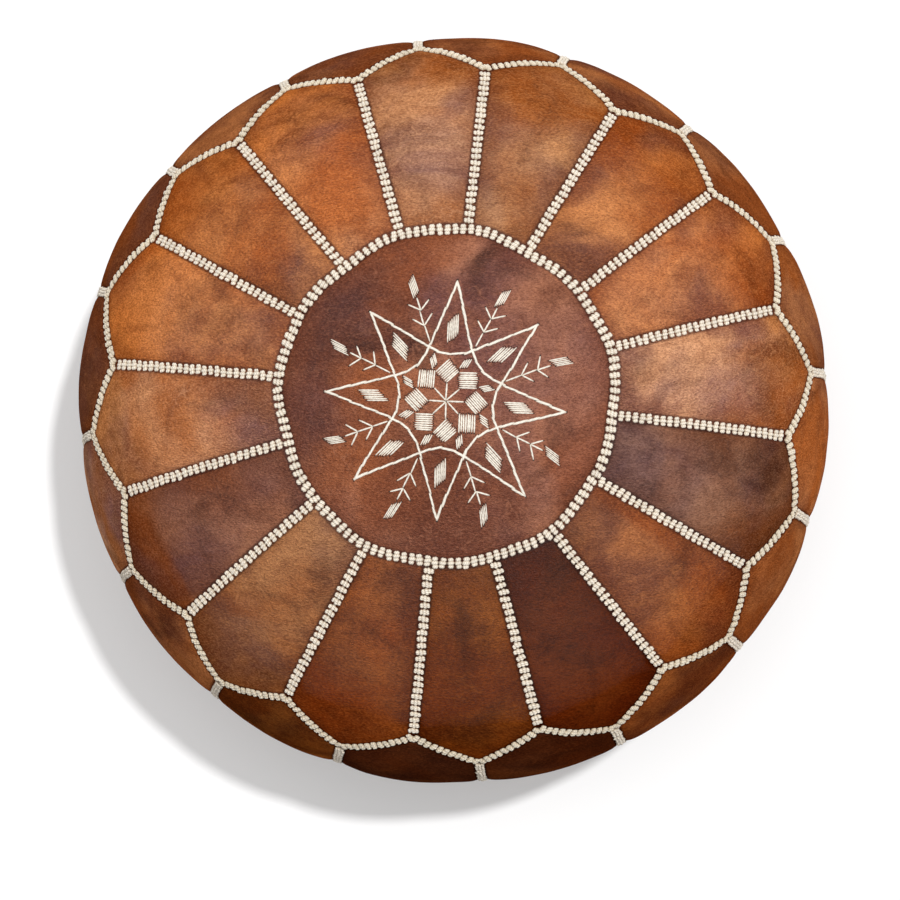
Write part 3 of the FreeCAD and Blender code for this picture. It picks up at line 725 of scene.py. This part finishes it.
def medallion_surface(u, s):
    """Points and normals of the medallion's leather."""
    radius = s / S_RING
    height = -SEAM_DEPTH + MEDALLION_RISE * (1 - radius**4)
    points, normals = place(u, s, height)
    edge = S_RING - s
    dents = 0.5 * MM * noise(points, 45 * MM, MEDALLION_SEED) * smoothstep(edge, 0, 25 * MM)
    puckers = 0.3 * MM * noise(points, 7 * MM, MEDALLION_SEED + 1) * np.exp(-edge / (8 * MM))
    groove = -GROOVE * np.exp(-((edge / (4.5 * MM)) ** 2))
    relief = dents + puckers * smoothstep(edge, 0, 3 * MM) + groove
    return points + normals * relief[..., None], normals


def medallion_point(x, y):
    """Point and normal of the medallion's leather above (x, y)."""
    radius = np.hypot(x, y)
    u = (np.arctan2(y, x) - FIRST_SEAM) / SECTOR
    return medallion_surface(u, DOME_R * np.arcsin(radius / DOME_R))


def medallion():
    columns, rows = SECTORS * 24, 60
    u = np.linspace(0, SECTORS, columns, endpoint=False)[None, :]
    s = np.linspace(S_RING / rows, S_RING, rows)[:, None]
    points, normals = medallion_surface(u, s)
    centre, _ = medallion_surface(np.array([0.0]), np.array([0.0]))
    tucked = points[-1] - normals[-1] * LEATHER
    flat = np.concatenate([points.reshape(-1, 3), tucked, centre])
    wrapped = wrapped_index(rows + 1, columns)
    faces = quads_of(wrapped).tolist() + fan(len(flat) - 1, wrapped[0])
    tone = MEDALLION_BROWN
    plum, burnt = scaled(tone, 0.50, 0.44, 0.52), scaled(tone, 0.66, 0.52, 0.42)
    orange, painted_sheen = scaled(tone, 1.10, 0.98, 0.70), scaled(tone, 1.02, 1.10, 1.28)
    patches = [
        ((-82 * MM, 40 * MM, TOP_Z), 40 * MM, 0.85, plum),
        ((-92 * MM, -22 * MM, TOP_Z), 34 * MM, 0.55, plum),
        ((0.0, -88 * MM, TOP_Z), 54 * MM, 0.85, burnt),
        ((-56 * MM, 14 * MM, TOP_Z), 20 * MM, 0.70, orange),
        ((-66 * MM, -46 * MM, TOP_Z), 22 * MM, 0.60, orange),
        # a painted sheen, paler and greyer, on the side towards the lights
        ((86 * MM, 0.0, TOP_Z), 56 * MM, 0.35, painted_sheen),
    ]
    material = leather("medallion_leather", tone, MEDALLION_SEED, 0.9, 0.34, patches)
    piece = new_mesh("medallion_leather", flat, faces, material)
    edge = np.broadcast_to(S_RING - s, (rows, columns)).ravel()
    float_attribute(piece, "edge", np.concatenate([edge, np.zeros(columns), [S_RING]]))
    float_attribute(piece, "reach", np.full(len(flat), MID_REACH))
    finish_piece(piece, "medallion_leather", "top_medallion")


# ---------------- thread
def bead_template(around, stations, blunt, waist=0.0):
    """A thread bead on the leather: x along it, y across, z up, each 1 at most.

    Its ends are the rounder the smaller blunt is, and waist is how far its middle is pinched.
    """
    turn = np.linspace(1.2 * math.pi, -0.2 * math.pi, around)[None, :]
    reach = np.array(stations)[:, None]
    girth = np.sqrt(np.maximum(1 - np.abs(reach) ** blunt, 0.02))
    girth = girth * (1 - waist * np.exp(-((reach / 0.16) ** 2)))
    points = np.stack(
        np.broadcast_arrays(reach, girth * np.cos(turn), girth * np.sin(turn)), -1
    )
    uv = np.stack(np.broadcast_arrays(reach, turn / math.pi), -1)
    return points.reshape(-1, 3), grid_faces(len(stations), around), uv.reshape(-1, 2)


BLOCK_LOBE = bead_template(8, [-1, -0.9, -0.5, -0.16, 0, 0.16, 0.5, 0.9, 1], 2.8, 0.15)
LONG_STITCH = bead_template(8, [-1, -0.96, -0.85, -0.5, 0, 0.5, 0.85, 0.96, 1], 5.0)


def beads(name, centres, frames, sizes, material, template):
    """One mesh of many thread beads. frames are (along, across, up) and sizes their half-lengths."""
    points, faces, uv = template
    stretched = points[None] * sizes[:, None, :]
    placed = centres[:, None, :] + np.einsum("nvi,nij->nvj", stretched, frames)
    count, each = len(centres), len(points)
    all_faces = (faces[None] + (np.arange(count) * each)[:, None, None]).reshape(-1, 4)
    piece = new_mesh(name, placed.reshape(-1, 3), all_faces, material)
    layer = piece.data.uv_layers.new(name="strand")
    real = uv[None] * sizes[:, None, :2] + random.random((count, 1, 2)) * 0.1
    corner = np.empty(len(piece.data.loops), np.int32)
    piece.data.loops.foreach_get("vertex_index", corner)
    layer.data.foreach_set("uv", real.reshape(-1, 2)[corner].astype(np.float32).ravel())
    float_attribute(piece, "nap", np.tile(points[:, 2], count))
    return piece


def path_reach(points):
    """Distance along a path to each of its points."""
    steps = np.linalg.norm(np.diff(points, axis=0), axis=1)
    return np.concatenate([[0], np.cumsum(steps)])


def sampled(values, reach, marks):
    """Values along a path, at marks on it."""
    return np.stack([np.interp(marks, reach, v) for v in values.T], -1)


def along_path(points, normals, pitch):
    """Evenly spaced centres, tangents and normals along a path, and their true spacing."""
    reach = path_reach(points)
    count = max(1, round(reach[-1] / pitch))
    marks = (np.arange(count) + 0.5) / count * reach[-1]
    ahead, behind = (sampled(points, reach, marks + step) for step in (pitch / 4, -pitch / 4))
    middle, normal = (sampled(values, reach, marks) for values in (points, normals))
    return middle, unit(ahead - behind), unit(normal), reach[-1] / count


def seam_blocks(name, paths, block, material, *nodes):
    """Hand-sewn thread blocks over a seam: each is three lobes side by side, pulled tight."""
    width, pitch = block
    centres, frames, sizes = [], [], []
    for points, normals in paths:
        middle, tangent, normal, step = along_path(points, normals, pitch)
        count = len(middle)
        lean = random.normal(0, 0.10, count)[:, None]
        across = unit(np.cross(normal, tangent))
        tangent, across = tangent + lean * across, across - lean * tangent
        middle = middle + across * random.normal(0, 0.25 * MM, count)[:, None]
        long = step * np.clip(random.normal(0.97, 0.05, count), 0.86, 1.03)
        wide = width * random.normal(1.0, 0.06, count)
        high = BLOCK_HEIGHT * random.normal(1.0, 0.08, count)
        for lobe in (-1, 0, 1):
            slip = random.normal(0, 0.15 * MM, count)[:, None]
            twist = LOBE_TWIST + random.normal(0, 0.08, count)[:, None]
            centres.append(middle + across * (lobe * wide / 3)[:, None] + tangent * slip)
            frames.append(np.stack([tangent + twist * across, across - twist * tangent, normal], 1))
            shorter, lower = OUTER_LOBE if lobe else (1.0, 1.0)
            tall = high * lower * random.normal(1.0, 0.05, count)
            sizes.append(np.stack([long * shorter / 2, wide / 6 * LOBE_OVERLAP, tall], 1))
    piece = beads(
        name, np.concatenate(centres), np.concatenate(frames), np.concatenate(sizes),
        material, BLOCK_LOBE,
    )
    return finish_piece(piece, "seam_thread", *nodes)


SEAT = -SEAM_DEPTH - GROOVE  # thread lies at the bottom of the seam's groove


def radial_path(u, start, end, count=60):
    return place(np.full(count, float(u)), np.linspace(start, end, count), SEAT)


def zigzag_paths(seam):
    """The two legs of each V."""
    legs = []
    for half in range(2 * SECTORS):
        u = np.linspace(half / 2, half / 2 + 0.5, 24)
        legs.append(place(u, seam(u), SEAT))
    return legs


def ring_path(s):
    u = np.linspace(0, SECTORS, 600)
    return place(u, np.full(600, s), SEAT)


def seams():
    cream = thread("seam_thread", (252, 241, 224))
    shaded = thread("zigzag_thread", (246, 234, 212))
    ring = [ring_path(S_RING)]
    seam_blocks("ring_stitches", ring, RING_BLOCK, cream, "top_ring_stitching")
    start, end = S_RING + CORNER_GAP, S_TOP_VALLEY - CORNER_GAP
    radial = [radial_path(k, start, end) for k in range(SECTORS)]
    seam_blocks("radial_stitches", radial, RADIAL_BLOCK, cream, "top_radial_stitching")
    legs = zigzag_paths(top_zigzag)
    seam_blocks("zigzag_stitches", legs, ZIGZAG_BLOCK, shaded, "top_zigzag_stitching")
    start, end = S_TOP_POINT + CORNER_GAP, S_BASE_POINT - CORNER_GAP
    sides = [radial_path(k + 0.5, start, end) for k in range(SECTORS)]
    seam_blocks("side_seam_stitches", sides, SIDE_BLOCK, cream, "side_seam_stitching")
    legs = zigzag_paths(base_zigzag)
    seam_blocks("base_zigzag_stitches", legs, ZIGZAG_BLOCK, shaded, "base_zigzag_stitching")
    ring = [ring_path(S_END)]
    seam_blocks("base_ring_stitches", ring, RING_BLOCK, cream, "base_ring_stitching")


def stitches(name, runs, material):
    """Single straight stitches. Each run is (start point, end point, normal, width, height)."""
    start, end, normal, width, height = map(np.array, zip(*runs))
    along = end - start
    length = np.linalg.norm(along, axis=1)
    along = unit(along)
    across = unit(np.cross(normal, along))
    frames = np.stack([along, across, unit(np.cross(along, across))], 1)
    sizes = np.stack([length / 2, width / 2, height], 1)
    return beads(name, (start + end) / 2, frames, sizes, material, LONG_STITCH)


def plain_seams():
    """Close running stitches in the flat seams between the base petals."""
    runs = []
    for k in range(SECTORS):
        points, normals = radial_path(k, S_BASE_VALLEY + 5 * MM, S_END - 6 * MM, 160)
        middle, tangent, normal, step = along_path(points, normals, 4.6 * MM)
        for m, t, n in zip(middle, tangent, normal):
            half = t * step * 0.42
            runs.append((m - half, m + half, n, 1.3 * MM, 0.7 * MM))
    piece = stitches("base_radial_stitches", runs, thread("base_seam_thread", (214, 200, 178)))
    finish_piece(piece, "seam_thread", "base_radial_stitching")


# ---------------- embroidery
STAR_CENTRE = np.array([-0.2 * MM, -4.4 * MM])
STAR_TURN = math.radians(40)
POINTS = 8
STEP = 2 * math.pi / POINTS
TIP_R = 79 * MM
BEND_R = 27.4 * MM  # where the two straight legs of a curve would meet
BEND_L = 15 * MM  # how far from there the curve leaves each leg
THREAD_W = 1.45 * MM
THREAD_H = 0.8 * MM
star_runs = []  # the embroidery's stitches, as stitches() takes them
holes = []  # (point, normal) of each needle hole


def at(radius, angle):
    return np.array([radius * math.cos(angle), radius * math.sin(angle)])


def sew(a, b, width=THREAD_W, height=THREAD_H, jitter=0.2 * MM):
    """One stitch on the medallion between two flat points, with a needle hole at each end."""
    a = a + STAR_CENTRE + random.normal(0, jitter, 2)
    b = b + STAR_CENTRE + random.normal(0, jitter, 2)
    (pa, na), (pb, nb) = (medallion_point(*p) for p in (a, b))
    lift = unit(na + nb) * 0.15 * MM
    star_runs.append((pa + lift, pb + lift, unit(na + nb), width, height))
    out = unit(pb - pa) * 0.35 * MM
    holes.extend([(pa - out, na), (pb + out, nb)])


def outline_stitch(route, length=8.5 * MM):
    """Stitches along a flat route, each beginning beside the one before like the strands of a rope."""
    reach = path_reach(route)
    count = max(1, round(reach[-1] / length))
    marks = np.linspace(0, reach[-1], count + 1)
    marks[1:-1] += random.normal(0, 0.10 * length, count - 1)
    spots = sampled(route, reach, marks)
    for a, b in zip(spots, spots[1:]):
        ahead = unit(b - a)
        beside = np.array([-ahead[1], ahead[0]]) * 0.36 * MM
        start, end = a - ahead * 1.1 * MM - beside, b + ahead * 1.1 * MM + beside
        sew(start, end, 1.75 * MM * random.normal(1.0, 0.08), jitter=0.15 * MM)


def star_outline():
    """Eight curves, each from one point to the next but one: straight legs and a rounded bend."""
    for k in range(POINTS):
        first = STAR_TURN + k * STEP
        start, end = at(TIP_R, first), at(TIP_R, first + 2 * STEP)
        bend = at(BEND_R, first + STEP)
        leave, join = (bend + unit(tip - bend) * BEND_L for tip in (start, end))
        t = np.linspace(0, 1, 15)[:, None]
        curve = (1 - t) ** 2 * leave + 2 * t * (1 - t) * bend + t**2 * join
        outline_stitch(np.concatenate([[start], curve, [end]]))


def satin(centre, direction, length, width, threads, slant):
    """A filled motif: parallel threads along a direction, each shifted by slant times its offset."""
    along = at(1.0, direction)
    across = np.array([-along[1], along[0]])
    for i in range(threads):
        offset = width * ((i + 0.5) / threads - 0.5)
        middle = centre + across * offset + along * slant * offset
        half = along * length / 2 * random.normal(1, 0.04)
        sew(middle - half, middle + half, width / threads * 0.90, 0.75 * MM, 0.10 * MM)


def twig(angle):
    """A stem with two pairs of branches and a leaf at its end."""
    angle = angle + random.normal(0, 0.015)
    joints = [41 * MM, 52 * MM, 62.5 * MM, 71.5 * MM]
    for low, high in zip(joints, joints[1:]):
        sew(at(low, angle), at(high, angle), 1.25 * MM)
    for joint in joints[1:3]:
        for side in (-1, 1):
            reach = at(random.normal(9.4, 0.5) * MM, angle + side * random.normal(0.87, 0.08))
            sew(at(joint, angle), at(joint, angle) + reach, 1.25 * MM)
    leaf = angle + random.normal(-0.06, 0.12)
    satin(at(79 * MM, angle), leaf, 11.5 * MM, 5.2 * MM, 5, -0.95)


def embroidery():
    star_outline()
    for k in range(POINTS):
        tip = STAR_TURN + k * STEP
        between = tip + STEP / 2
        satin(at(48 * MM, tip), tip + 0.07, 14 * MM, 7.8 * MM, 6, -0.9)
        turned = tip + 0.05 + random.normal(0, 0.02)
        satin(at(19.8 * MM, turned), turned - math.pi / 4, 11.9 * MM, 11.2 * MM, 8, 0.0)
        satin(at(27.9 * MM, between), between + random.normal(0, 0.1), 7.0 * MM, 4.6 * MM, 4, -0.8)
        sew(at(0.4 * MM, turned), at(12.0 * MM, turned), 1.3 * MM)
        twig(between)
    # the last two numbers set the painted shade between the strands and down the sides of each stitch
    cream = thread("embroidery_thread", (250, 242, 228), 0.5 * MM, 0.15, 0.86, 0.45)
    piece = stitches("star_embroidery", star_runs, cream)
    finish_piece(piece, "embroidery_thread", "medallion_embroidery")
    needle_holes()


def needle_holes():
    """Small dark spots where the needle went in."""
    ring = np.linspace(0, 2 * math.pi, 7)[:-1]
    points, faces = [], []
    for point, normal in holes:
        side = unit(np.cross(normal, [0.0, 1.0, 0.0]))
        other = np.cross(normal, side)
        first = len(points)
        size = random.uniform(0.42, 0.66) * MM
        for turn in ring:
            rim = side * math.cos(turn) + other * math.sin(turn)
            points.append(point + rim * size + normal * 0.10 * MM)
        points.append(point + normal * 0.14 * MM)
        faces += [[first + i, first + (i + 1) % 6, first + 6] for i in range(6)]
    # each spot is a dark disc that paints the shade inside a needle hole
    piece = new_mesh("needle_holes", points, faces, needle_hole("needle_hole"))
    finish_piece(piece, "medallion_leather")


# ---------------- base disc and zip
def base_disc():
    """Two halves of the base's middle, with a slot for the zip between them."""
    slot_l, slot_w = 108 * MM, 5.5 * MM
    columns, rows = 160, 40
    for half, side, number in (("front", -1, 0), ("rear", 1, 1)):
        turn = np.linspace(0, math.pi, columns)[None, :]
        down = np.linspace(0, 1, rows)[:, None]
        rounded = np.clip((slot_l - np.abs(slot_l * np.cos(turn))) / slot_w, 0, 1)
        inner = np.stack([slot_l * np.cos(turn), slot_w * np.sqrt(1 - (1 - rounded) ** 2)], -1)
        outer = BASE_RING_R * np.stack([np.cos(turn), np.sin(turn)], -1)
        flat = inner + (outer - inner) * down[..., None]
        edge = np.minimum(1 - down, down) * np.linalg.norm(outer - inner, axis=-1)
        points = np.concatenate([flat, np.full((rows, columns, 1), RECESS_Z)], -1)
        points[..., 1] *= side
        sag = 0.7 * MM * noise(points, 50 * MM, 150 + number) * smoothstep(edge, 0, 20 * MM)
        sag += 0.3 * MM * noise(points, 9 * MM, 160) * np.exp(-edge / (8 * MM))
        lip = 0.8 * MM * np.exp(-((60 * down) ** 2) / 8)
        points[..., 2] += 0.2 * MM - sag + lip
        if side > 0:
            points = points[:, ::-1]
            edge = edge[:, ::-1]
        material = leather(f"base_disc_leather_{half}", CHESTNUT, 90 + number)
        reach = np.full((rows, columns), MID_REACH)
        normals = np.broadcast_to(DOWN, points.shape)
        piece = sheet_mesh(f"base_disc_{half}_leather", points, normals, edge, reach, material)
        finish_piece(piece, "base_leather", f"base_disc_{half}")


def zip_stitches():
    """Two lines of running stitches that hold the tapes to the leather."""
    runs = []
    low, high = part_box("zip_stitching")
    count = 44
    marks = np.linspace(low.x, high.x, count + 1)
    for side in (-1, 1):
        y = side * (high.y - 0.4 * MM)
        for a, b in zip(marks, marks[1:]):
            start, end = np.array([a + 0.5 * MM, y, RECESS_Z]), np.array([b - 0.5 * MM, y, RECESS_Z])
            runs.append((start, end, DOWN, 1.0 * MM, 0.55 * MM))
    piece = stitches("zip_stitches", runs, thread("zip_thread", (150, 110, 76)))
    finish_piece(piece, "seam_thread", "zip_stitching")


def tube(path, radius, sides=6):
    """Points and faces of a tube along a path."""
    path = np.asarray(path)
    tangent = unit(np.gradient(path, axis=0))
    side = unit(np.cross(tangent, np.array([0.31, 0.22, 0.93])))
    other = np.cross(tangent, side)
    turn = np.linspace(0, 2 * math.pi, sides, endpoint=False)
    ring = side[:, None] * np.cos(turn)[None, :, None] + other[:, None] * np.sin(turn)[None, :, None]
    points = (path[:, None] + ring * radius).reshape(-1, 3)
    return points, quads_of(wrapped_index(len(path), sides))[:, [0, 3, 2, 1]]


def zip_coils(material):
    """Each coil is one nylon thread wound into loops along its tape."""
    pitch, wire = 1.35 * MM, 0.28 * MM
    for half, side in (("front", -1), ("rear", 1)):
        low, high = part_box(f"zip_coil_{half}")
        loops = int((high.x - low.x) / pitch)
        turn = np.linspace(0, 2 * math.pi * loops, loops * 12)
        x = np.linspace(low.x + wire, high.x - wire, len(turn))
        y = (low.y + high.y) / 2 + side * np.cos(turn) * ((high.y - low.y) / 2 - wire)
        z = (low.z + high.z) / 2 + np.sin(turn) * ((high.z - low.z) / 2 - wire)
        points, faces = tube(np.stack([x, y, z], -1), wire)
        piece = new_mesh(f"zip_coil_{half}_loops", points, faces, material)
        finish_piece(piece, "zip_coil", f"zip_coil_{half}")


def repaint(node, material):
    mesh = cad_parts[node].data
    mesh.materials.clear()
    mesh.materials.append(material)


def zip_parts():
    tape = woven("zip_tape", (74, 46, 30), 0.7 * MM)
    for half in ("front", "rear"):
        repaint(f"zip_tape_{half}", tape)
    zip_coils(nylon("zip_coil", (84, 52, 34)))
    brass = aged_brass("zip_brass")
    for node in ("zip_slider", "zip_pull_tab", "zip_top_stops", "zip_bottom_stop"):
        repaint(node, brass)


# ---------------- inside
def inner_shell(name, depth, bumps, seed, material, slot, node):
    """A closed, lumpy shell under the leather."""
    columns, rows = 128, 90
    u = np.linspace(0, SECTORS, columns, endpoint=False)[None, :]
    s = np.linspace(8 * MM, s_at_radius(3, FLAT_R + 2 * MM), rows)[:, None]
    points, normals = place(u, s, 0.0)
    lumps = bumps * noise(points, 40 * MM, seed) + 0.3 * bumps * noise(points, 13 * MM, seed + 1)
    points = points - normals * (depth + bumps - lumps)[..., None]
    floor_z = RECESS_Z + 10 * MM + depth / 3
    points[..., 2] = np.maximum(points[..., 2], floor_z)
    top = points[0].mean(0)
    bottom = np.array([0.0, 0.0, floor_z])
    flat = np.concatenate([points.reshape(-1, 3), [top, bottom]])
    wrapped = wrapped_index(rows, columns)
    count = rows * columns
    caps = fan(count, wrapped[0]) + fan(count + 1, wrapped[-1, ::-1])
    faces = quads_of(wrapped).tolist() + caps
    piece = new_mesh(name, flat, faces, material)
    finish_piece(piece, slot, node)


def inside():
    cotton = woven("bag_cotton", (226, 216, 196), 0.9 * MM)
    inner_shell("cotton_inner_bag", 6 * MM, 1.0 * MM, 200, cotton, "cotton_cloth", "inner_bag")
    fibre = wadding("cotton_wadding", (232, 228, 216))
    inner_shell("cotton_filling", 10 * MM, 2.5 * MM, 210, fibre, "cotton_filling", "filling")


# ---------------- studio
CAMERA_HEIGHT = 2.5
CAMERA_LEAN = Vector((0.024, -0.047, 1.0))
AIM = Vector((-2 * MM, -28 * MM, WIDEST_Z))
VIEW_WIDTH = 0.641
FLOOR_HALF = 6.0
KEY_FROM = Vector((0.77, 0.64, 3.0))
SOFTBOX_FROM = Vector((-0.3, 0.5, 3.6))
NORTH = Vector((0, 1, 0))


def turned_to(back, up):
    """The turn of a camera or lamp that looks along -back, with up at the top of its view."""
    right = up.cross(back).normalized()
    return Matrix((right, back.cross(right), back)).transposed().to_euler()


def lamp(name, kind, direction, energy, **settings):
    """A lamp that shines on the pouf from a direction."""
    light = bpy.data.lights.new(name, kind)
    light.energy = energy
    for key, value in settings.items():
        setattr(light, key, value)
    thing = bpy.data.objects.new(name, light)
    bpy.context.scene.collection.objects.link(thing)
    thing.location = direction
    thing.rotation_euler = turned_to(direction.normalized(), NORTH)


def studio():
    scene = bpy.context.scene
    scene.view_settings.view_transform = "Standard"
    corners = [(x * FLOOR_HALF, y * FLOOR_HALF, 0) for x, y in ((-1, -1), (1, -1), (1, 1), (-1, 1))]
    floor = new_mesh("studio_floor", corners, [[0, 1, 2, 3]], studio_floor("floor"), False)
    world = bpy.data.worlds.new("studio")
    world.use_nodes = True
    background = world.node_tree.nodes["Background"].inputs
    background["Color"].default_value = (1, 1, 1, 1)
    background["Strength"].default_value = 0.20
    scene.world = world
    lamp("key", "SUN", KEY_FROM, 2.5, angle=math.radians(3.0))
    lamp("softbox", "AREA", SOFTBOX_FROM, 45, shape="DISK", size=2.4)
    camera = bpy.data.cameras.new("camera")
    eye = bpy.data.objects.new("camera", camera)
    scene.collection.objects.link(eye)
    distance = CAMERA_HEIGHT - AIM.z
    back = CAMERA_LEAN.normalized()
    eye.location = AIM + back * distance
    eye.rotation_euler = turned_to(back, NORTH)
    camera.angle = 2 * math.atan(VIEW_WIDTH / 2 / distance)
    scene.camera = eye


panels()
medallion()
seams()
plain_seams()
embroidery()
base_disc()
zip_stitches()
zip_parts()
inside()
studio()
